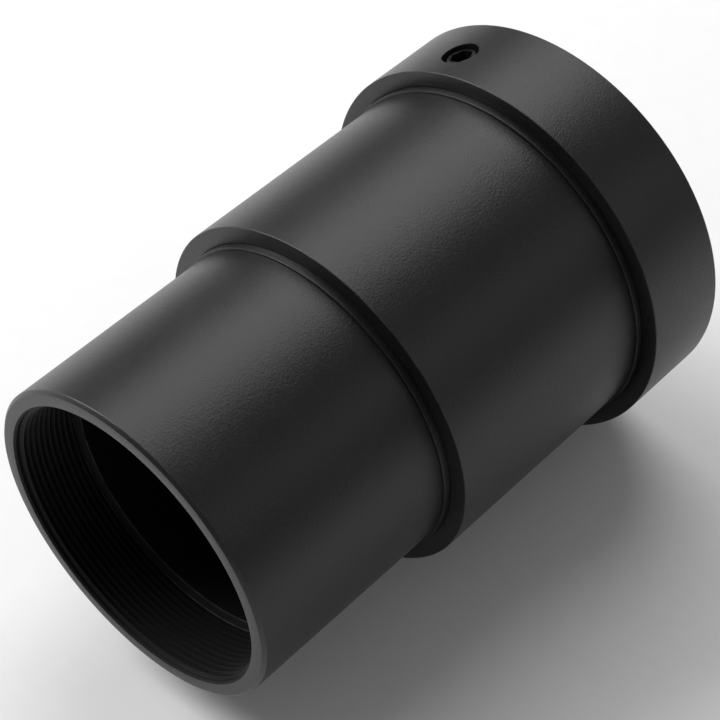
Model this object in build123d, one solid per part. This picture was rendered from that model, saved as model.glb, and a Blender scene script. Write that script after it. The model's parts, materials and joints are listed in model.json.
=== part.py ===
from build123d import *
import os

# Millimetres. Every piece is drawn standing on the housing's rear face, with the optical axis
# along +Z and the barrel's mouth at the top, and is laid down with its mouth towards -Y on export.

# Housing: three turned tubes, each wider than the one before
barrel_dia = 31.75  # standard 1.25 inch focuser size
barrel_len = 22.74
barrel_wall = 2.225
shoulder_height = 1.925  # body over barrel
body_len = 24.28
body_wall = 1.87
front_wall = 4.0  # end wall of the body that the barrel screws into
collar_height = 1.85  # collar over body
collar_len = 9.1
collar_lip_len = 1.6
spigot_depth = 0.875  # barrel's screwed end, under the barrel's own surface
rim_height = 0.25  # ring round the root of the barrel and of the body
rim_len = 0.75  # in front of the face that it is let into
rim_depth = 0.6  # inside that face
body_spigot_wall = 1.07  # body's reduced rear end, inside the collar
rear_chamfer = 0.25
step_chamfer = 0.08

# Filter thread in the barrel's mouth, M28.5 x 0.6, drawn at its minor diameter
thread_depth = 0.275  # minor diameter over the bore
filter_thread_len = 6.58
mouth_depth = 0.78  # mouth over the bore
mouth_chamfer_len = 0.5
thread_end_len = 0.47
lip_chamfer = 0.3

# Clamp screw in the collar, M4 x 3, threads left off
clamp_hole_dia = 3.6
clamp_station = 5.4  # from the rear face
clamp_clock = -23.1  # degrees from straight up towards +X
clamp_screw_len = 3.0
clamp_socket = 2.0
clamp_socket_depth = 1.6
screw_chamfer = 0.4

# Clearances, all radial or axial gaps
thread_gap = 0.05
sliding_gap = 0.06
tip_gap = 0.43  # clamp screw backed off the sleeve
seat_gap = 0.05
board_gap = 0.1
button_gap = 0.1
lip_gap = 0.17
stem_gap = 0.2
loose_gap = 0.3
holder_gap = 0.4
press_gap = 0.4  # left between the button's flange and the switch when pressed

# Laser cartridge
sleeve_recess = 0.8  # behind the rear face
sleeve_rear_wall = 1.42
sleeve_ledge = 1.4  # between the seal seat and the cell chamber
seal_seat_len = 2.6
module_ledge = 1.5  # between the cell chamber and the module's rear end
aperture_room = 1.0  # between the module and the aperture disc
disc_thickness = 1.5
disc_wall = 2.4
beam_hole_dia = 5.0
spanner_notch = 1.6

# Battery cap and its switch
cap_flange_len = 1.6
cap_floor = 1.2
cap_wall = 2.0
seal_wire_dia = 0.95
coin_slot_width = 1.8
coin_slot_depth = 0.6
coin_slot_len = 5.0
button_dia = 8.0
button_proud = 0.45
button_flange = 0.8
button_flange_len = 0.5
button_travel = 0.8
stem_dia = 3.0
switch_size = 6.0
switch_height = 1.9
switch_well = 1.5
stem_reach = 0.4  # into the switch at rest
board_thickness = 1.0

# Coin cell, CR2032, and its holder
cell_dia = 20.0
cell_len = 3.2
cell_rim = 1.2  # the negative face is smaller than the can
cell_step = 0.64  # and stands out of it
cell_room = 2.3  # between the cap and the cell, for the positive spring
holder_lip = 0.2
holder_floor = 1.8
contact_hole_dia = 7.0

# Laser module
module_dia = 12.0
module_len = 21.0
rear_pocket_wall = 1.0
rear_pocket_len = 4.0
front_bore_wall = 1.5
diode_web = 2.0  # between the rear pocket and the front bore
pivot_setback = 3.0  # from the module's front end
pivot_ring_dia = 2.4
pivot_groove_depth = 0.3
pivot_groove_len = 2.8
ring_squeeze = 0.05
driver_offset = 1.2
chip_size = (3.2, 2.4, 0.9)
chip_offset = 2.5

# Laser diode, 5.6 mm can
diode_flange_dia = 5.6
diode_flange_len = 1.2
diode_can_dia = 3.6
diode_can_len = 2.3
pin_dia = 0.45
pin_circle_dia = 2.0
pin_len = 3.4

# Lens, its screwed cell and the spring behind it
lens_dia = 6.0
lens_edge = 1.0
lens_crown = 0.9
cell_ring_len = 6.0
cell_ring_setback = 3.0  # from the module's front end
lens_shelf = 2.0
lens_shelf_wall = 0.5  # the lens rests on its edge
focus_slot_width = 1.0
focus_slot_depth = 0.8

# Springs
lens_spring_gap = 0.7
lens_spring_wire = 0.5
lens_spring_pitch = 1.03
contact_spring_dia = 4.6
contact_wire = 0.45
contact_pitch = 0.7

# Alignment screws, M3 x 6, threads left off
align_count = 3
align_offset = 4.0  # from the module's rear end
align_dia = 2.9
align_len = 6.0
align_socket = 1.5
align_socket_depth = 1.5

# Places that follow from the sizes: radii from the outside in, stations from the rear face
shoulder = collar_len + body_len
mouth = shoulder + barrel_len
front_wall_inner = shoulder - front_wall
barrel_r = barrel_dia / 2
barrel_bore_r = barrel_r - barrel_wall
body_r = barrel_r + shoulder_height
body_bore_r = body_r - body_wall
body_spigot_r = body_bore_r + body_spigot_wall
collar_r = body_r + collar_height
barrel_spigot_r = barrel_r - spigot_depth
barrel_rim_r = barrel_r + rim_height
body_rim_r = body_r + rim_height
barrel_rim_front, barrel_rim_rear = shoulder + rim_len, shoulder - rim_depth
body_rim_front, body_rim_rear = collar_len + rim_len, collar_len - rim_depth
sleeve_r = body_bore_r - sliding_gap
nose_r = barrel_bore_r - loose_gap
seal_seat_r = sleeve_r - sleeve_rear_wall
chamber_r = seal_seat_r - sleeve_ledge
disc_r = nose_r - disc_wall
module_r = module_dia / 2
rear_pocket_r = module_r - rear_pocket_wall
front_bore_r = module_r - front_bore_wall
groove_r = module_r - pivot_groove_depth
module_bore_r = groove_r + pivot_ring_dia + 2 * ring_squeeze
align_tip = module_r + seat_gap
align_clocks = [360 / align_count * turn for turn in range(align_count)]
cap_flange_r = seal_seat_r - thread_gap
cap_thread_r = chamber_r - thread_gap
cap_bore_r = cap_thread_r - cap_wall
button_r = button_dia / 2
button_hole_r = button_r + button_gap
seal_seat_end = sleeve_recess + seal_seat_len
cap_floor_end = sleeve_recess + cap_floor
button_flange_station = cap_floor_end + button_gap
stem_station = button_flange_station + button_flange_len
switch_station = stem_station + button_travel + press_gap
board_station = switch_station + switch_height
board_end = board_station + board_thickness
cap_end = board_end + board_gap
cell_station = cap_end + cell_room
cell_end = cell_station + cell_len
holder_end = cell_end + holder_floor
chamber_end = holder_end + holder_gap
module_station = chamber_end + module_ledge
module_front = module_station + module_len
sleeve_front = module_front + aperture_room + disc_thickness
pivot_station = module_front - pivot_setback
align_station = module_station + align_offset
driver_station = module_station + driver_offset
diode_station = module_station + rear_pocket_len
diode_flange_end = diode_station + diode_flange_len
front_bore_station = diode_station + diode_web
cell_ring_front = module_front - cell_ring_setback
cell_ring_low = cell_ring_front - cell_ring_len
lens_station = cell_ring_low + lens_shelf


def turned(*outline):
    """Turns a closed outline of (radius, station) points about the optical axis."""
    points = [(radius, 0, station) for radius, station in outline]
    return revolve(make_face(Polyline(*points, close=True)), axis=Axis.Z)


def post(dia, low, high):
    return Pos(0, 0, low) * Cylinder(dia / 2, high - low, align=(Align.CENTER, Align.CENTER, Align.MIN))


def radial(clock, station):
    """Stands a shape's +Z axis outwards, at an angle from straight up towards +X."""
    return Pos(0, 0, station) * Rot(0, 0, 90 - clock) * Rot(0, 90, 0)


def coil(dia, wire, low, high, pitch):
    """A round-wire spring between two stations."""
    path = Helix(pitch=pitch, height=high - low - wire, radius=(dia - wire) / 2)
    section = Plane(origin=path @ 0, z_dir=path % 0) * Circle(wire / 2)
    return Pos(0, 0, low + wire / 2) * sweep(section, path=path, is_frenet=True)


def set_screw(dia, low, high, socket, socket_depth):
    """A headless screw along +Z with a cone on its tip and a hex socket in its top."""
    r, cut = dia / 2, screw_chamfer
    body = turned((0, low), (r - cut, low), (r, low + cut), (r, high - cut), (r - cut, high), (0, high))
    hexagon = RegularPolygon(socket / 2, 6, major_radius=False)
    return body - Pos(0, 0, high - socket_depth) * extrude(hexagon, socket_depth)


def clamp_hole():
    return radial(clamp_clock, clamp_station) * post(clamp_hole_dia, 0, 2 * collar_r)


def nose_barrel():
    thread_r, thread_end = barrel_bore_r + thread_depth, mouth - filter_thread_len
    return turned(
        (barrel_bore_r, front_wall_inner), (barrel_spigot_r, front_wall_inner),
        (barrel_spigot_r, barrel_rim_rear), (barrel_rim_r, barrel_rim_rear),
        (barrel_rim_r, barrel_rim_front), (barrel_r, barrel_rim_front),
        (barrel_r, mouth - lip_chamfer), (barrel_r - lip_chamfer, mouth),
        (barrel_bore_r + mouth_depth, mouth), (thread_r, mouth - mouth_chamfer_len),
        (thread_r, thread_end), (barrel_bore_r, thread_end - thread_end_len))


def body_tube():
    hole, rim_seat = barrel_spigot_r + thread_gap, barrel_rim_r + thread_gap
    tube = turned(
        (body_bore_r, collar_lip_len), (body_spigot_r, collar_lip_len), (body_spigot_r, body_rim_rear),
        (body_rim_r, body_rim_rear), (body_rim_r, body_rim_front), (body_r, body_rim_front),
        (body_r, shoulder - step_chamfer), (body_r - step_chamfer, shoulder),
        (rim_seat, shoulder), (rim_seat, barrel_rim_rear), (hole, barrel_rim_rear),
        (hole, front_wall_inner), (body_bore_r, front_wall_inner))
    return tube - clamp_hole()


def rear_collar():
    bore, lip, rim_seat = body_spigot_r + thread_gap, body_bore_r + lip_gap, body_rim_r + thread_gap
    ring = turned(
        (lip, 0), (collar_r - rear_chamfer, 0), (collar_r, rear_chamfer),
        (collar_r, collar_len - step_chamfer), (collar_r - step_chamfer, collar_len),
        (rim_seat, collar_len), (rim_seat, body_rim_rear), (bore, body_rim_rear),
        (bore, collar_lip_len), (lip, collar_lip_len))
    return ring - clamp_hole()


def collar_set_screw():
    tip = sleeve_r + tip_gap
    screw = set_screw(clamp_hole_dia - 2 * thread_gap, tip, tip + clamp_screw_len,
                      clamp_socket, clamp_socket_depth)
    return radial(clamp_clock, clamp_station) * screw


def laser_sleeve():
    step, disc_seat = front_wall_inner - seat_gap, sleeve_front - disc_thickness
    disc_hole = disc_r + thread_gap
    sleeve = turned(
        (seal_seat_r, sleeve_recess), (sleeve_r, sleeve_recess), (sleeve_r, step), (nose_r, step),
        (nose_r, sleeve_front), (disc_hole, sleeve_front), (disc_hole, disc_seat),
        (module_bore_r, disc_seat), (module_bore_r, chamber_end), (chamber_r, chamber_end),
        (chamber_r, seal_seat_end), (seal_seat_r, seal_seat_end))
    hole_dia = align_dia + 2 * thread_gap
    for clock in align_clocks:
        sleeve -= radial(clock, align_station) * post(hole_dia, module_r, body_r)
    return sleeve


def aperture_disc():
    """Front disc with the beam hole and two notches for a pin spanner."""
    low = sleeve_front - disc_thickness
    disc = post(2 * disc_r, low, sleeve_front) - post(beam_hole_dia, low, sleeve_front)
    notch = Box(spanner_notch, spanner_notch, disc_thickness)
    for side in (-1, 1):
        disc -= Pos(side * disc_r, 0, sleeve_front) * notch
    return disc


def battery_cap():
    flange_end = sleeve_recess + cap_flange_len
    cap = turned(
        (button_hole_r, sleeve_recess), (cap_flange_r - rear_chamfer, sleeve_recess),
        (cap_flange_r, sleeve_recess + rear_chamfer), (cap_flange_r, flange_end),
        (cap_thread_r, flange_end), (cap_thread_r, cap_end), (cap_bore_r, cap_end),
        (cap_bore_r, cap_floor_end), (button_hole_r, cap_floor_end))
    slot = Box(coin_slot_len, coin_slot_width, 2 * coin_slot_depth)
    for side in (-1, 1):
        cap -= Pos(side * (cap_flange_r + button_hole_r) / 2, 0, sleeve_recess) * slot
    return cap


def cap_o_ring():
    middle = (cap_thread_r + seal_seat_r) / 2
    station = sleeve_recess + (cap_flange_len + seal_seat_len) / 2
    return Pos(0, 0, station) * Torus(middle, seal_wire_dia / 2)


def switch_button():
    rear, stem, tip = sleeve_recess - button_proud, stem_dia / 2, switch_station + stem_reach
    flange = button_r + button_flange
    return turned(
        (0, rear), (button_r - rear_chamfer, rear), (button_r, rear + rear_chamfer),
        (button_r, button_flange_station), (flange, button_flange_station),
        (flange, stem_station), (stem, stem_station), (stem, tip), (0, tip))


def switch_body():
    well = post(stem_dia + 2 * stem_gap, switch_station, switch_station + switch_well)
    block = Pos(0, 0, switch_station + switch_height / 2) * Box(switch_size, switch_size, switch_height)
    return block - well


def switch_board():
    return post(2 * (cap_bore_r - thread_gap), board_station, board_end)


def positive_spring():
    return coil(contact_spring_dia, contact_wire, board_end + seat_gap, cell_station - seat_gap,
                contact_pitch)


def coin_cell():
    can, face, can_end = cell_dia / 2, cell_dia / 2 - cell_rim, cell_end - cell_step
    return turned((0, cell_station), (can, cell_station), (can, can_end), (face, can_end),
                  (face, cell_end), (0, cell_end))


def cell_holder():
    outer, inner, hole = chamber_r - thread_gap, cell_dia / 2 + button_gap, contact_hole_dia / 2
    return turned((inner, cell_station - holder_lip), (outer, cell_station - holder_lip),
                  (outer, holder_end), (hole, holder_end), (hole, cell_end), (inner, cell_end))


def negative_spring():
    return coil(contact_spring_dia, contact_wire, cell_end + seat_gap, driver_station - seat_gap,
                contact_pitch)


def laser_module_body():
    seat, can = diode_flange_dia / 2 + seat_gap, diode_can_dia / 2 + loose_gap
    groove_low, groove_high = pivot_station - pivot_groove_len / 2, pivot_station + pivot_groove_len / 2
    return turned(
        (rear_pocket_r, module_station), (module_r, module_station), (module_r, groove_low),
        (groove_r, groove_low), (groove_r, groove_high), (module_r, groove_high),
        (module_r, module_front), (front_bore_r, module_front), (front_bore_r, front_bore_station),
        (can, front_bore_station), (can, diode_flange_end), (seat, diode_flange_end),
        (seat, diode_station), (rear_pocket_r, diode_station))


def pivot_o_ring():
    middle = groove_r + ring_squeeze + pivot_ring_dia / 2
    return Pos(0, 0, pivot_station) * Torus(middle, pivot_ring_dia / 2)


def diode_pins(dia):
    """Three leads behind the diode, or their holes in the driver board."""
    spots = PolarLocations(pin_circle_dia / 2, 3)
    lead = post(dia, diode_station - pin_len, diode_station)
    return [spot * lead for spot in spots]


def laser_diode():
    flange = post(diode_flange_dia, diode_station, diode_flange_end)
    can = post(diode_can_dia, diode_flange_end, diode_flange_end + diode_can_len)
    return flange + can + diode_pins(pin_dia)


def driver_board():
    board_front = driver_station + board_thickness
    board = post(2 * (rear_pocket_r - board_gap), driver_station, board_front)
    chip = Pos(0, -chip_offset, board_front + chip_size[2] / 2) * Box(*chip_size)
    return board + chip - diode_pins(pin_dia + 2 * board_gap)


def lens_spring():
    return coil(2 * (front_bore_r - lens_spring_gap), lens_spring_wire, front_bore_station + seat_gap,
                cell_ring_low - loose_gap, lens_spring_pitch)


def lens_cell():
    outer, seat = front_bore_r - thread_gap, lens_dia / 2 + thread_gap
    shelf = lens_dia / 2 - lens_shelf_wall
    ring = turned((shelf, cell_ring_low), (outer, cell_ring_low), (outer, cell_ring_front),
                  (seat, cell_ring_front), (seat, lens_station), (shelf, lens_station))
    slot = Box(2 * front_bore_r, focus_slot_width, 2 * focus_slot_depth)
    return ring - Pos(0, 0, cell_ring_front) * slot


def collimating_lens():
    """Flat behind, crowned in front."""
    r, front = lens_dia / 2, lens_station + lens_edge + lens_crown
    curve = (r * r + lens_crown * lens_crown) / (2 * lens_crown)
    return post(lens_dia, lens_station, front) & Pos(0, 0, front - curve) * Sphere(curve)


def alignment_screw(clock):
    screw = set_screw(align_dia, align_tip, align_tip + align_len, align_socket, align_socket_depth)
    return radial(clock, align_station) * screw


nodes = {
    "nose_barrel": nose_barrel(),
    "body_tube": body_tube(),
    "rear_collar": rear_collar(),
    "collar_set_screw": collar_set_screw(),
    "laser_sleeve": laser_sleeve(),
    "aperture_disc": aperture_disc(),
    "battery_cap": battery_cap(),
    "cap_o_ring": cap_o_ring(),
    "switch_button": switch_button(),
    "switch_body": switch_body(),
    "switch_board": switch_board(),
    "positive_spring": positive_spring(),
    "coin_cell": coin_cell(),
    "cell_holder": cell_holder(),
    "negative_spring": negative_spring(),
    "laser_module_body": laser_module_body(),
    "pivot_o_ring": pivot_o_ring(),
    "laser_diode": laser_diode(),
    "driver_board": driver_board(),
    "lens_spring": lens_spring(),
    "lens_cell": lens_cell(),
    "collimating_lens": collimating_lens(),
}
for number, clock in enumerate(align_clocks, start=1):
    nodes[f"alignment_screw_{number}"] = alignment_screw(clock)

# The finished frame: origin at the front of the barrel's rim, which stops on the focuser, mouth to -Y
laid_down = Pos(0, barrel_rim_front, 0) * Rot(90, 0, 0)
os.makedirs("parts", exist_ok=True)
for name, piece in nodes.items():
    export_step(laid_down * piece, f"parts/{name}.step")
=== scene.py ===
import json
from math import cos, pi, radians, sin

import bmesh
import bpy
from mathutils import Matrix, Vector


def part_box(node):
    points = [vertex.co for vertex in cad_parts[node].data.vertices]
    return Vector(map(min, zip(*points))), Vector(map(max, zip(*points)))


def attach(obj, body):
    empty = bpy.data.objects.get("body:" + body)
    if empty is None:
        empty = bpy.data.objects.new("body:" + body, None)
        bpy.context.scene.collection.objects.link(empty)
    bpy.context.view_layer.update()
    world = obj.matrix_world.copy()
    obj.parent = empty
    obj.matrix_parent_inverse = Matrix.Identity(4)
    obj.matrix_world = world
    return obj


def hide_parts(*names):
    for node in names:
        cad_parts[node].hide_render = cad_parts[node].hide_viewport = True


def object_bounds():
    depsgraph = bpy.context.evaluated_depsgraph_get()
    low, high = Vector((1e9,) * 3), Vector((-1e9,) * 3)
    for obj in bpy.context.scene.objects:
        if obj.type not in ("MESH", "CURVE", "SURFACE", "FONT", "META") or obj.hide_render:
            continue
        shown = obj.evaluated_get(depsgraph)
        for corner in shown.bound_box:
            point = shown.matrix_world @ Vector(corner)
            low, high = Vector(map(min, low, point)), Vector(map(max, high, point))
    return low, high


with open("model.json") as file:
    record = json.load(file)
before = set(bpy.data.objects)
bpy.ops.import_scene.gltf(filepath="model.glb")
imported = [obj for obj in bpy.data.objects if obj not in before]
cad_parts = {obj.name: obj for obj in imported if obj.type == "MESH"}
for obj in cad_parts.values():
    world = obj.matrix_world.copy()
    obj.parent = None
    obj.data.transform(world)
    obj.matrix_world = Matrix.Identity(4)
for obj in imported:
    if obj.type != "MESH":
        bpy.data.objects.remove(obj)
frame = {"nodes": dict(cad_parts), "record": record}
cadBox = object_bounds()
scene = bpy.context.scene
scene.view_settings.view_transform = "Standard"
mm = 0.001
record = frame["record"]
mounts = {mount["name"]: mount for mount in record["mounts"]}
joints = {joint["name"]: joint for joint in record["behaviour"]["joints"]}
slotOf = {row["node"]: row["material_slot"] for row in record["subparts"]}
bodyOf = {node: body for body, nodes in record["behaviour"]["bodies"].items() for node in nodes}


class Shade:
    # one output of a node, so that shader maths reads as plain sums
    def __init__(self, finish, socket):
        self.finish, self.socket = finish, socket

    def maths(self, operation, *values):
        return self.finish.add("ShaderNodeMath", {"operation": operation}, dict(enumerate(values)))

    def __add__(self, other):
        return self.maths("ADD", self, other)

    def __sub__(self, other):
        return self.maths("SUBTRACT", self, other)

    def __rsub__(self, other):
        return self.maths("SUBTRACT", other, self)

    def __mul__(self, other):
        return self.maths("MULTIPLY", self, other)

    def __truediv__(self, other):
        return self.maths("DIVIDE", self, other)

    def __pow__(self, other):
        return self.maths("POWER", self, other)

    def __lt__(self, other):
        return self.maths("LESS_THAN", self, other)

    def sine(self):
        return self.maths("SINE", self)

    __radd__ = __add__
    __rmul__ = __mul__


class Finish:
    # one material and the nodes in it
    def __init__(self, name):
        self.material = bpy.data.materials.new(name)
        self.material.use_nodes = True
        self.tree = self.material.node_tree
        self.tree.nodes.clear()

    def add(self, kind, settings=None, inputs=None, output=0):
        node = self.tree.nodes.new(kind)
        for key, value in (settings or {}).items():
            if key == "stops":
                while len(node.color_ramp.elements) < len(value):
                    node.color_ramp.elements.new(1)
                for element, (place, grey) in zip(node.color_ramp.elements, value):
                    element.position, element.color = place, (grey, grey, grey, 1)
            else:
                setattr(node, key, value)
        for key, value in (inputs or {}).items():
            if isinstance(value, Shade):
                self.tree.links.new(value.socket, node.inputs[key])
            else:
                node.inputs[key].default_value = value
        return None if output is None else Shade(self, node.outputs[output])

    def place(self):
        return self.add("ShaderNodeTexCoord", output=3)

    def grain(self, scale, detail=2, rough=0.5, where=None):
        return self.add("ShaderNodeTexNoise", {"noise_dimensions": "3D"},
                        {"Vector": where or self.place(), "Scale": scale, "Detail": detail, "Roughness": rough})

    def ramp(self, value, *stops):
        return self.add("ShaderNodeValToRGB", {"stops": stops}, {0: value})

    def mixColour(self, factor, first, second):
        return self.add("ShaderNodeMix", {"data_type": "RGBA"}, {0: factor, 6: first, 7: second}, 2)

    def bump(self, height, strength, distance, normal=None):
        inputs = {"Height": height, "Strength": strength, "Distance": distance}
        if normal:
            inputs["Normal"] = normal
        return self.add("ShaderNodeBump", None, inputs)

    def edges(self):
        # 1 on the small bevels that a piece was given, 0 elsewhere
        return self.add("ShaderNodeAttribute", {"attribute_name": "edgeWear"}, output=2)

    def fromAxis(self):
        # distance from the optical axis, which is Y, and place along it, in metres
        x = self.add("ShaderNodeSeparateXYZ", None, {0: self.place()})
        y, z = (Shade(self, x.socket.node.outputs[axis]) for axis in (1, 2))
        return (x * x + z * z) ** 0.5, y

    def lathe(self, pitch, wander):
        # turning marks: rings along the axis and fine spirals on the end faces
        radius, along = self.fromAxis()
        return (((along + radius) / pitch + wander * 0.6) * (2 * pi)).sine()

    def surface(self, **inputs):
        named = {key.replace("_", " "): value for key, value in inputs.items()}
        shader = self.add("ShaderNodeBsdfPrincipled", None, named)
        self.add("ShaderNodeOutputMaterial", None, {"Surface": shader}, output=None)
        return self.material


def colour(red, green, blue):
    return (red, green, blue, 1)


# the darkest colour is painted shade for the inside of the mouth
blackAnodise = {"dark": colour(0.0042, 0.0043, 0.0047), "pale": colour(0.0105, 0.0106, 0.011),
                "worn": colour(0.030, 0.030, 0.031), "inner": colour(0.0022, 0.0022, 0.0024),
                "roughness": 0.36, "roughnessSpread": 0.16, "innerRoughness": 0.30, "innerDepth": 0.55,
                "innerRadius": 0.01444, "innerEnd": 0.005,
                "blastScale": 4800, "blastDepth": 0.000045, "cloudScale": 130}


def makeBlackAnodise():
    # blasted aluminium under a black dye: a fine grain, with broad faint clouds where the blast was uneven;
    # the inside of the mouth gets painted shade: a darker colour, half metallic and duller, so that it throws no light
    # back
    f = Finish("blackAnodised")
    blast = f.grain(blackAnodise["blastScale"], 3, 0.65)
    clouds = f.grain(blackAnodise["cloudScale"], 3)
    smudge = f.ramp(f.grain(45, 4, 0.6), (0.52, 0), (0.70, 1))
    tone = f.ramp(blast * 0.7 + clouds * 0.3, (0.36, 0), (0.66, 1))
    dyed = f.mixColour(tone, blackAnodise["dark"], blackAnodise["pale"])
    rubbed = f.edges() * f.ramp(f.grain(900, 3), (0.35, 0.15), (0.7, 1))
    radius, along = f.fromAxis()
    # painted shade: inside the mouth the colour is mixed towards a darker one and made half metallic, which darkens its
    # reflections
    inner = (radius < blackAnodise["innerRadius"]) * (along < blackAnodise["innerEnd"])
    return f.surface(
        Base_Color=f.mixColour(rubbed, f.mixColour(inner, dyed, blackAnodise["inner"]), blackAnodise["worn"]),
        Metallic=inner * (1 - rubbed) * blackAnodise["innerDepth"],
        Roughness=(blast - 0.5) * blackAnodise["roughnessSpread"] + (clouds - 0.5) * 0.08 - smudge * 0.02
        + inner * blackAnodise["innerRoughness"] + blackAnodise["roughness"],
        IOR=1.45,
        Normal=f.bump(blast, 0.7, blackAnodise["blastDepth"]))


turnedMetals = {
    "turnedBrass": {"pale": colour(0.62, 0.43, 0.17), "dull": colour(0.40, 0.25, 0.09), "roughness": 0.26,
                    "pitch": 0.00009, "depth": 0.0000022},
    "nickelPlate": {"pale": colour(0.66, 0.64, 0.60), "dull": colour(0.47, 0.45, 0.42), "roughness": 0.22,
                    "pitch": 0.00016, "depth": 0.0000012},
    "springSteel": {"pale": colour(0.50, 0.50, 0.51), "dull": colour(0.30, 0.29, 0.28), "roughness": 0.24,
                    "pitch": 0.00005, "depth": 0.0000010},
}


def makeTurnedMetal(name):
    size = turnedMetals[name]
    f = Finish(name)
    stain = f.grain(160, 4, 0.6)
    fine = f.grain(2600, 3, 0.6)
    dulled = f.ramp(stain * 0.65 + fine * 0.35, (0.38, 0), (0.66, 1))
    edges = f.edges()
    return f.surface(
        Base_Color=f.mixColour(dulled * (1 - edges * 0.7), size["pale"], size["dull"]),
        Metallic=1 - dulled * 0.06,
        Roughness=(fine - 0.5) * 0.12 + dulled * 0.10 + size["roughness"],
        Normal=f.bump(f.lathe(size["pitch"], fine) + fine, 0.5, size["depth"]))


blackOxide = {"dark": colour(0.010, 0.010, 0.011), "pale": colour(0.045, 0.044, 0.043),
              "bare": colour(0.25, 0.24, 0.23), "roughness": 0.38}


def makeBlackOxide():
    # steel screws: blued skin, bright along the edges where a key has rubbed it off
    f = Finish("blackOxideSteel")
    skin = f.grain(1500, 4, 0.6)
    worn = f.edges() * f.ramp(f.grain(700, 3), (0.42, 0), (0.62, 1))
    dyed = f.mixColour(f.ramp(skin, (0.35, 0), (0.7, 1)), blackOxide["dark"], blackOxide["pale"])
    return f.surface(
        Base_Color=f.mixColour(worn, dyed, blackOxide["bare"]),
        Metallic=worn * 0.2 + 0.8,
        Roughness=(skin - 0.5) * 0.18 - worn * 0.1 + blackOxide["roughness"],
        Normal=f.bump(skin, 0.35, 0.000008))


moulded = {
    "nitrileRubber": {"deep": colour(0.0075, 0.0075, 0.008), "pale": colour(0.022, 0.022, 0.022),
                      "roughness": 0.58, "pebble": 1400, "depth": 0.000012, "wear": 0.2},
    "redPlastic": {"deep": colour(0.30, 0.008, 0.007), "pale": colour(0.43, 0.018, 0.014),
                   "roughness": 0.34, "pebble": 3200, "depth": 0.000008, "wear": 0.7},
    "blackAcetal": {"deep": colour(0.008, 0.008, 0.009), "pale": colour(0.020, 0.020, 0.021),
                    "roughness": 0.42, "pebble": 2600, "depth": 0.000008, "wear": 0.5},
}


def makeMoulded(name):
    size = moulded[name]
    f = Finish(name)
    pebble = f.grain(size["pebble"], 2, 0.55)
    flow = f.grain(220, 3)
    shine = f.edges() * size["wear"]
    return f.surface(
        Base_Color=f.mixColour(f.ramp(pebble * 0.4 + flow * 0.6, (0.36, 0), (0.66, 1)), size["deep"], size["pale"]),
        Roughness=(pebble - 0.5) * 0.2 + (flow - 0.5) * 0.1 - shine * 0.12 + size["roughness"],
        IOR=1.5,
        Normal=f.bump(pebble, 0.4, size["depth"]))


circuitBoard = {"mask": colour(0.006, 0.075, 0.028), "copper": colour(0.012, 0.125, 0.048),
                "weave": colour(0.004, 0.052, 0.02), "roughness": 0.3, "trackScale": 620, "weaveScale": 2400}


def makeCircuitBoard():
    # green mask over glass cloth, with the copper tracks a shade paler under it
    f = Finish("circuitBoard")
    cells = f.add("ShaderNodeTexVoronoi", {"feature": "F1", "distance": "MANHATTAN"},
                  {"Vector": f.place(), "Scale": circuitBoard["trackScale"], "Randomness": 0.7})
    tracks = f.ramp(cells, (0.42, 0), (0.48, 1))
    cloth = f.add("ShaderNodeTexChecker", None, {"Vector": f.place(), "Scale": circuitBoard["weaveScale"]}, 1)
    ground = f.mixColour(cloth * 0.4, circuitBoard["mask"], circuitBoard["weave"])
    return f.surface(
        Base_Color=f.mixColour(tracks, ground, circuitBoard["copper"]),
        Roughness=f.grain(900, 3) * 0.12 + circuitBoard["roughness"],
        IOR=1.5,
        Normal=f.bump(tracks, 0.5, 0.00002))


lensGlass = {"clear": colour(0.96, 0.98, 0.99), "coated": colour(0.80, 0.86, 0.97)}


def makeLensGlass():
    f = Finish("lensGlass")
    dust = f.ramp(f.grain(2200, 3), (0.64, 0), (0.74, 1))
    return f.surface(
        Base_Color=f.mixColour(f.grain(180, 2), lensGlass["clear"], lensGlass["coated"]),
        Roughness=dust * 0.25 + 0.02,
        IOR=1.52,
        Transmission_Weight=0.92,
        Normal=f.bump(dust, 0.2, 0.000004))


finishes = {
    "black_anodised": makeBlackAnodise(),
    "black_oxide_steel": makeBlackOxide(),
    "brass": makeTurnedMetal("turnedBrass"),
    "spring_steel": makeTurnedMetal("springSteel"),
    "nickel_steel": makeTurnedMetal("nickelPlate"),
    "black_rubber": makeMoulded("nitrileRubber"),
    "red_plastic": makeMoulded("redPlastic"),
    "black_plastic": makeMoulded("blackAcetal"),
    "circuit_board": makeCircuitBoard(),
    "lens_glass": makeLensGlass(),
}
for name, node in frame["nodes"].items():
    node.data.materials.clear()
    node.data.materials.append(finishes[slotOf[name]])
print("finishes made")


def roundEdges(bm, edges, size, segments=3):
    # rounds the edges and marks the new faces, so that the finish can show them rubbed
    rubbed = bm.faces.layers.float.get("edgeWear") or bm.faces.layers.float.new("edgeWear")
    made = bmesh.ops.bevel(bm, geom=edges, offset=size, offset_type="OFFSET", segments=segments, profile=0.5,
                           affect="EDGES", clamp_overlap=True, material=-1)
    for face in made["faces"]:
        face[rubbed] = 1


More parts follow.
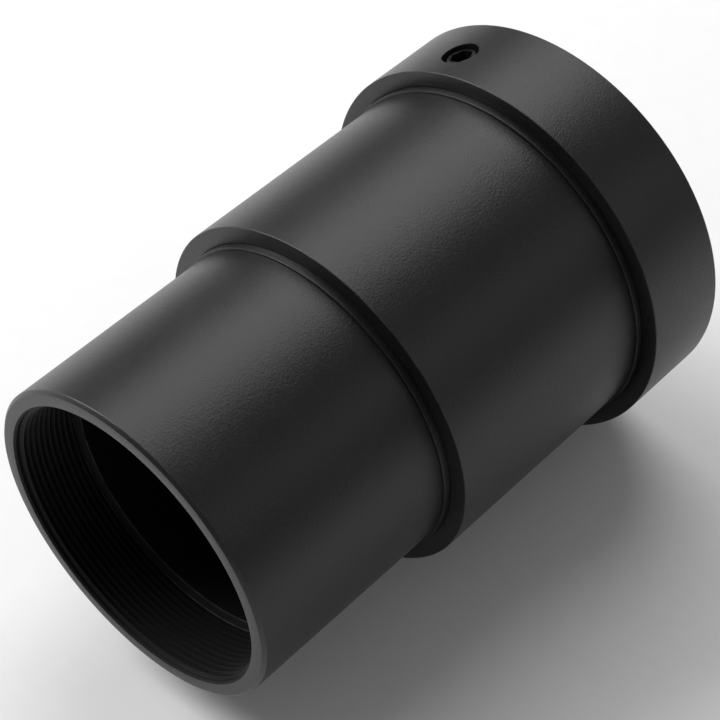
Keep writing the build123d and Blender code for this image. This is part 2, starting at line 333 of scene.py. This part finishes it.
def turned(outline, steps=256):
    # spins a closed outline about the optical axis; its points are radius, place along Y and edge rounding, in mm
    bm = bmesh.new()
    bm.faces.layers.float.new("edgeWear")
    points = [bm.verts.new((radius * mm, along * mm, 0)) for radius, along, _ in outline]
    lines = [bm.edges.new((points[n - 1], point)) for n, point in enumerate(points)]
    bmesh.ops.spin(bm, geom=points + lines, cent=(0, 0, 0), axis=(0, 1, 0), dvec=(0, 0, 0), angle=2 * pi,
                   steps=steps, use_merge=True)
    bmesh.ops.remove_doubles(bm, verts=bm.verts, dist=0.0000005)
    bmesh.ops.recalc_face_normals(bm, faces=bm.faces)
    for radius, along, rounding in outline:
        if rounding and radius:
            def onRing(vert):
                reach = (vert.co.x ** 2 + vert.co.z ** 2) ** 0.5
                return abs(reach - radius * mm) < 0.000003 and abs(vert.co.y - along * mm) < 0.000003
            ring = [edge for edge in bm.edges if onRing(edge.verts[0]) and onRing(edge.verts[1])]
            roundEdges(bm, ring, rounding * mm)
    return bm


def addRidge(bm, crest, root, pitch, start, turns, flat, steps=120, taper=0.3):
    # a helical thread ridge about Y: a trapezium spun along the axis, fading out at both ends
    base, top = pitch * 0.44, pitch * flat
    section = [(root, -base), (crest, -top), (crest, top), (root, base)]
    points = [bm.verts.new((radius * mm, (start + along) * mm, 0)) for radius, along in section]
    lines = [bm.edges.new((points[n - 1], point)) for n, point in enumerate(points)]
    before = set(bm.verts) - set(points)
    count = round(steps * turns)
    bmesh.ops.spin(bm, geom=points + lines, cent=(0, 0, 0), axis=(0, 1, 0), dvec=(0, pitch * mm / steps, 0),
                   angle=2 * pi * turns, steps=count, use_merge=False)
    made = [vert for vert in bm.verts if vert not in before]
    for vert in made:
        reach = (vert.co.x ** 2 + vert.co.z ** 2) ** 0.5
        travelled = (vert.co.y / mm - start) / pitch
        fade = min(1, max(0, travelled / taper), max(0, (turns - travelled) / taper))
        new = root * mm + (reach - root * mm) * fade
        vert.co.x, vert.co.z = vert.co.x * new / reach, vert.co.z * new / reach
    ends = [edge for edge in bm.edges if edge.is_boundary and edge.verts[0] in made]
    bmesh.ops.holes_fill(bm, edges=ends)
    ridgeFaces = [face for face in bm.faces if all(vert not in before for vert in face.verts)]
    bmesh.ops.recalc_face_normals(bm, faces=ridgeFaces)


def cutAway(piece, *cutters):
    # takes the cutters' shapes out of a piece and removes them
    for cutter in cutters:
        cut = piece.modifiers.new("cut", "BOOLEAN")
        cut.operation, cut.solver, cut.object = "DIFFERENCE", "EXACT", cutter
    view = bpy.context.evaluated_depsgraph_get()
    view.update()
    mesh = bpy.data.meshes.new_from_object(piece.evaluated_get(view))
    piece.modifiers.clear()
    piece.data = mesh
    for cutter in cutters:
        bpy.data.objects.remove(cutter)


def asObject(bm, name):
    mesh = bpy.data.meshes.new(name)
    bm.to_mesh(mesh)
    bm.free()
    piece = bpy.data.objects.new(name, mesh)
    scene.collection.objects.link(piece)
    return piece


def cylinderAlong(direction, radius, low, high, through=(0, 0, 0), steps=96):
    # a cutter from low to high mm along a direction that leaves the point named through
    bm = bmesh.new()
    bmesh.ops.create_cone(bm, cap_ends=True, cap_tris=False, segments=steps, radius1=radius * mm,
                          radius2=radius * mm, depth=(high - low) * mm)
    bmesh.ops.translate(bm, verts=bm.verts, vec=(0, 0, (low + high) / 2 * mm))
    turn = Vector(direction).to_track_quat("Z", "Y").to_matrix().to_4x4()
    bmesh.ops.transform(bm, matrix=Matrix.Translation(Vector(through)) @ turn, verts=bm.verts)
    return asObject(bm, "cutter")


def finishPiece(piece, node, sharp=38):
    # smooth faces, crisp edges, the node's finish and body
    piece.data.materials.clear()
    piece.data.materials.append(finishes[slotOf[node]])
    piece.data.shade_smooth()
    piece.data.set_sharp_from_angle(angle=radians(sharp))
    weighted = piece.modifiers.new("evenNormals", "WEIGHTED_NORMAL")
    weighted.keep_sharp, weighted.weight = True, 60
    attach(piece, bodyOf[node])
    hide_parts(node)


barrelRadius = mounts["barrel"]["dims"]["r_mm"]
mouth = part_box("nose_barrel")[0].y / mm
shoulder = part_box("body_tube")[0].y / mm
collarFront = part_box("rear_collar")[0].y / mm
rim = {"height": 0.25, "length": 0.75, "depth": 0.6, "edge": 0.03, "gap": 0.05}
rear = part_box("rear_collar")[1].y / mm
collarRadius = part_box("rear_collar")[1].x / mm
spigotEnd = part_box("nose_barrel")[1].y / mm

noseBarrel = {"bore": 13.65, "threadRoot": 14.255, "threadCrest": 13.925, "pitch": 0.6, "threadLength": 6.58,
              "mouthRadius": 14.43, "mouthChamfer": 0.5, "lip": 0.3, "endCone": 0.47, "spigot": 15.0,
              "threadFlat": 0.075}


def makeNoseBarrel():
    size = noseBarrel
    threadEnd, rimRadius = mouth + size["threadLength"], barrelRadius + rim["height"]
    bm = turned([
        (size["bore"], spigotEnd, 0), (size["spigot"], spigotEnd, 0), (size["spigot"], shoulder + rim["depth"], 0),
        (rimRadius, shoulder + rim["depth"], 0), (rimRadius, shoulder - rim["length"], rim["edge"]),
        (barrelRadius, shoulder - rim["length"], 0),
        (barrelRadius, mouth + size["lip"], 0.04), (barrelRadius - size["lip"], mouth, 0.03),
        (size["mouthRadius"], mouth, 0.03), (size["threadRoot"], mouth + 0.2, 0),
        (size["threadRoot"], threadEnd, 0.07), (size["bore"], threadEnd + size["endCone"], 0.07)], steps=320)
    turns = (size["threadLength"] - size["mouthChamfer"]) / size["pitch"]
    addRidge(bm, size["threadCrest"], size["threadRoot"] + 0.01, size["pitch"],
             mouth + size["mouthChamfer"], turns, size["threadFlat"])
    finishPiece(asObject(bm, "noseBarrel"), "nose_barrel")


clampHole = {"radius": 1.8, "node": "collar_set_screw", "joint": "clamp_screw_travel"}
clampAxis = Vector(joints[clampHole["joint"]]["axis"])
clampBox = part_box(clampHole["node"])
clampMiddle = (clampBox[0] + clampBox[1]) / 2
clampFoot = Vector((0, clampMiddle.y, 0))

bodyTube = {"radius": 17.8, "bore": 15.93, "spigot": 17.0, "hole": 15.05, "frontWall": 4.0, "lipLength": 1.6,
            "edge": 0.09}


def makeBodyTube():
    size = bodyTube
    wall = shoulder + size["frontWall"]
    spigotEndY = rear - size["lipLength"]
    rimRadius, rimSeat = size["radius"] + rim["height"], barrelRadius + rim["height"] + rim["gap"]
    bm = turned([
        (size["bore"], spigotEndY, 0.05), (size["spigot"], spigotEndY, 0.05),
        (size["spigot"], collarFront + rim["depth"], 0), (rimRadius, collarFront + rim["depth"], 0),
        (rimRadius, collarFront - rim["length"], rim["edge"]), (size["radius"], collarFront - rim["length"], 0),
        (size["radius"], shoulder, size["edge"]), (rimSeat, shoulder, 0.015),
        (rimSeat, shoulder + rim["depth"], 0), (size["hole"], shoulder + rim["depth"], 0),
        (size["hole"], wall, 0), (size["bore"], wall, 0)], steps=320)
    piece = asObject(bm, "bodyTube")
    cutAway(piece, cylinderAlong(clampAxis, clampHole["radius"], 0, collarRadius, clampFoot))
    finishPiece(piece, "body_tube")


rearCollar = {"bore": 17.05, "lipBore": 16.1, "lipLength": 1.6, "frontEdge": 0.09, "rearEdge": 0.25}


def makeRearCollar():
    size = rearCollar
    rimSeat = bodyTube["radius"] + rim["height"] + rim["gap"]
    bm = turned([
        (size["lipBore"], rear, 0.08), (collarRadius, rear, size["rearEdge"]),
        (collarRadius, collarFront, size["frontEdge"]), (rimSeat, collarFront, 0.02),
        (rimSeat, collarFront + rim["depth"], 0), (size["bore"], collarFront + rim["depth"], 0),
        (size["bore"], rear - size["lipLength"], 0), (size["lipBore"], rear - size["lipLength"], 0.05)], steps=360)
    piece = asObject(bm, "rearCollar")
    cutAway(piece, cylinderAlong(clampAxis, clampHole["radius"], 0, collarRadius + 1, clampFoot))
    finishPiece(piece, "rear_collar")


screws = {
    "collar_set_screw": {"name": "clampScrew", "joint": "clamp_screw_travel", "radius": 1.75, "core": 1.43,
                         "length": 3.0, "pitch": 0.7, "chamfer": 0.35, "socket": 2.0, "depth": 1.6},
    "alignment_screw_1": {"name": "alignScrewTop", "joint": "align_top_travel"},
    "alignment_screw_2": {"name": "alignScrewRight", "joint": "align_right_travel"},
    "alignment_screw_3": {"name": "alignScrewLeft", "joint": "align_left_travel"},
}
alignScrew = {"radius": 1.45, "core": 1.19, "length": 6.0, "pitch": 0.5, "chamfer": 0.3, "socket": 1.5, "depth": 1.5}


def makeScrew(node):
    # a headless screw built along Y with its point at low Y, then turned to lie along its joint's axis
    size = {**alignScrew, **screws[node]}
    half, root = size["length"] / 2, size["core"]
    bm = turned([(0, -half, 0), (root - size["chamfer"], -half, 0.04), (root, -half + size["chamfer"], 0),
                 (root, half - 0.1, 0), (root - 0.1, half, 0.03), (0, half, 0)], steps=72)
    turns = (size["length"] - size["chamfer"] - 0.45) / size["pitch"]
    addRidge(bm, size["radius"], root - 0.02, size["pitch"], -half + size["chamfer"] + 0.15, turns, 0.08, steps=48)
    piece = asObject(bm, size["name"])
    corner = size["socket"] / 2 / cos(pi / 6)
    socket = cylinderAlong((0, 1, 0), corner, half - size["depth"], half + 1, steps=6)
    cutAway(piece, socket)
    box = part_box(node)
    turn = Vector(joints[size["joint"]]["axis"]).to_track_quat("Y", "Z").to_matrix().to_4x4()
    piece.data.transform(Matrix.Translation((box[0] + box[1]) / 2) @ turn)
    finishPiece(piece, node)


laserSleeve = {"radius": 15.87, "nose": 13.35, "discSeat": 11.0, "bore": 8.2, "chamber": 13.05, "sealSeat": 14.45,
               "step": 4.05, "discThickness": 1.5, "sealLength": 2.6, "chamberEnd": 19.63, "screwHole": 1.5}


def makeLaserSleeve():
    size = laserSleeve
    front, back = (corner.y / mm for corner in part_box("laser_sleeve"))
    step, seat = shoulder + size["step"], front + size["discThickness"]
    bm = turned([
        (size["sealSeat"], back, 0.06), (size["radius"], back, 0.12), (size["radius"], step, 0.1),
        (size["nose"], step, 0.03), (size["nose"], front, 0.1), (size["discSeat"], front, 0.05),
        (size["discSeat"], seat, 0), (size["bore"], seat, 0), (size["bore"], size["chamberEnd"], 0.05),
        (size["chamber"], size["chamberEnd"], 0), (size["chamber"], back - size["sealLength"], 0.05),
        (size["sealSeat"], back - size["sealLength"], 0)], steps=288)
    piece = asObject(bm, "laserSleeve")
    cutters = []
    for node in ("alignment_screw_1", "alignment_screw_2", "alignment_screw_3"):
        middle = (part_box(node)[0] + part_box(node)[1]) / 2
        foot = Vector((0, middle.y, 0))
        cutters.append(cylinderAlong(joints[screws[node]["joint"]]["axis"], size["screwHole"], 6, 18, foot))
    cutAway(piece, *cutters)
    finishPiece(piece, "laser_sleeve")


apertureDisc = {"radius": 10.95, "beamHole": 2.5, "countersink": 0.35, "notch": 1.6}


def boxAt(middle, size):
    bm = bmesh.new()
    bmesh.ops.create_cube(bm, size=1)
    bmesh.ops.scale(bm, verts=bm.verts, vec=[side * mm for side in size])
    bmesh.ops.translate(bm, verts=bm.verts, vec=[along * mm for along in middle])
    return asObject(bm, "cutter")


def makeApertureDisc():
    size = apertureDisc
    front, back = (corner.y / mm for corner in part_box("aperture_disc"))
    bm = turned([(size["beamHole"], back, 0.03), (size["radius"], back, 0.05), (size["radius"], front, 0.08),
                 (size["beamHole"] + size["countersink"], front, 0.03),
                 (size["beamHole"], front + size["countersink"], 0.02)], steps=192)
    piece = asObject(bm, "apertureDisc")
    notch = size["notch"]
    cutAway(piece, *(boxAt((side * size["radius"], front, 0), (notch, notch, notch)) for side in (-1, 1)))
    finishPiece(piece, "aperture_disc")


batteryCap = {"flange": 14.4, "thread": 13.0, "core": 12.72, "bore": 11.0, "hole": 4.1, "flangeLength": 1.6,
              "floor": 1.2, "edge": 0.25, "slotLength": 5.0, "slotWidth": 1.8, "slotDepth": 0.6,
              "pitch": 0.75, "dish": 0.25, "dishRadius": 5.4}


def makeBatteryCap():
    size = batteryCap
    front, back = (corner.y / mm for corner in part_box("battery_cap"))
    flangeEnd, floor = back - size["flangeLength"], back - size["floor"]
    bm = turned([
        (size["hole"], back - size["dish"], 0.05), (size["dishRadius"], back - size["dish"], 0),
        (size["dishRadius"] + size["dish"], back, 0.03), (size["flange"], back, size["edge"]),
        (size["flange"], flangeEnd, 0.05), (size["core"], flangeEnd, 0), (size["core"], front, 0.1),
        (size["bore"], front, 0.05), (size["bore"], floor, 0), (size["hole"], floor, 0)], steps=288)
    turns = (flangeEnd - front - 1.9) / size["pitch"]
    addRidge(bm, size["thread"], size["core"] - 0.02, size["pitch"], front + 0.5, turns, 0.08)
    piece = asObject(bm, "batteryCap")
    middle = (size["flange"] + size["hole"]) / 2
    slot = (size["slotLength"], 2 * size["slotDepth"], size["slotWidth"])
    cutAway(piece, *(boxAt((side * middle, back, 0), slot) for side in (-1, 1)))
    finishPiece(piece, "battery_cap")


switchButton = {"radius": 4.0, "flange": 4.8, "flangeLength": 0.5, "stem": 1.5, "dish": 0.16, "dishRadius": 3.2}


def makeSwitchButton():
    size = switchButton
    front, back = (corner.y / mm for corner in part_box("switch_button"))
    stemTop, flangeTop = front + 1.6, front + 2.1
    bm = turned([
        (0, back - size["dish"], 0), (size["dishRadius"] * 0.6, back - size["dish"] * 0.8, 0.1),
        (size["dishRadius"], back, 0.12), (size["radius"], back, 0.25), (size["radius"], flangeTop, 0),
        (size["flange"], flangeTop, 0.08), (size["flange"], stemTop, 0.08), (size["stem"], stemTop, 0),
        (size["stem"], front, 0.1), (0, front, 0)], steps=160)
    finishPiece(asObject(bm, "switchButton"), "switch_button")


makeNoseBarrel()
makeBodyTube()
makeRearCollar()
for screwNode in screws:
    makeScrew(screwNode)
print("housing and screws made")
makeLaserSleeve()
makeApertureDisc()
makeBatteryCap()
makeSwitchButton()
print("cartridge made")


floorHeight = cadBox[0].z
bpy.ops.mesh.primitive_plane_add(size=4, location=(0, 0, floorHeight))
floor = bpy.context.object
floor.name = "studioFloor"
paper = Finish("palePaper")
floor.data.materials.append(paper.surface(
    Base_Color=paper.mixColour(paper.grain(400, 3), colour(0.84, 0.84, 0.84), colour(0.88, 0.88, 0.88)),
    Roughness=0.8))

studio = {
    "key": {"direction": (-0.37, 0.49, 0.79), "distance": 0.60, "size": 0.50, "power": 1.7},
    "side": {"direction": (-0.76, -0.24, 0.60), "distance": 0.75, "size": 0.45, "power": 5.6},
    "far": {"direction": (0.71, 0.49, 0.50), "distance": 0.70, "size": 0.30, "power": 0.18},
}
for name, lamp in studio.items():
    light = bpy.data.lights.new(name, "AREA")
    light.shape, light.size, light.energy = "DISK", lamp["size"], lamp["power"]
    holder = bpy.data.objects.new(name, light)
    scene.collection.objects.link(holder)
    holder.location = Vector(lamp["direction"]).normalized() * lamp["distance"]
    holder.rotation_euler = (-holder.location).to_track_quat("-Z", "Y").to_euler()

world = bpy.data.worlds.new("studioAir")
scene.world = world
world.use_nodes = True
world.node_tree.nodes["Background"].inputs["Color"].default_value = (1, 1, 1, 1)
world.node_tree.nodes["Background"].inputs["Strength"].default_value = 0.22

look = {"aim": (0.00016, 0.00664, 0.00028), "azimuth": 42.498, "elevation": 48.221, "distance": 0.19614, "lens": 108.26}
turn, rise = radians(look["azimuth"]), radians(look["elevation"])
backwards = Vector((sin(turn) * cos(rise), -cos(turn) * cos(rise), sin(rise)))
camera = bpy.data.objects.new("camera", bpy.data.cameras.new("camera"))
camera.data.lens, camera.data.sensor_width = look["lens"], 36
camera.data.clip_start, camera.data.clip_end = 0.01, 10
camera.location = Vector(look["aim"]) + backwards * look["distance"]
camera.rotation_euler = (-backwards).to_track_quat("-Z", "Y").to_euler()
scene.collection.objects.link(camera)
scene.camera = camera
print("studio made")
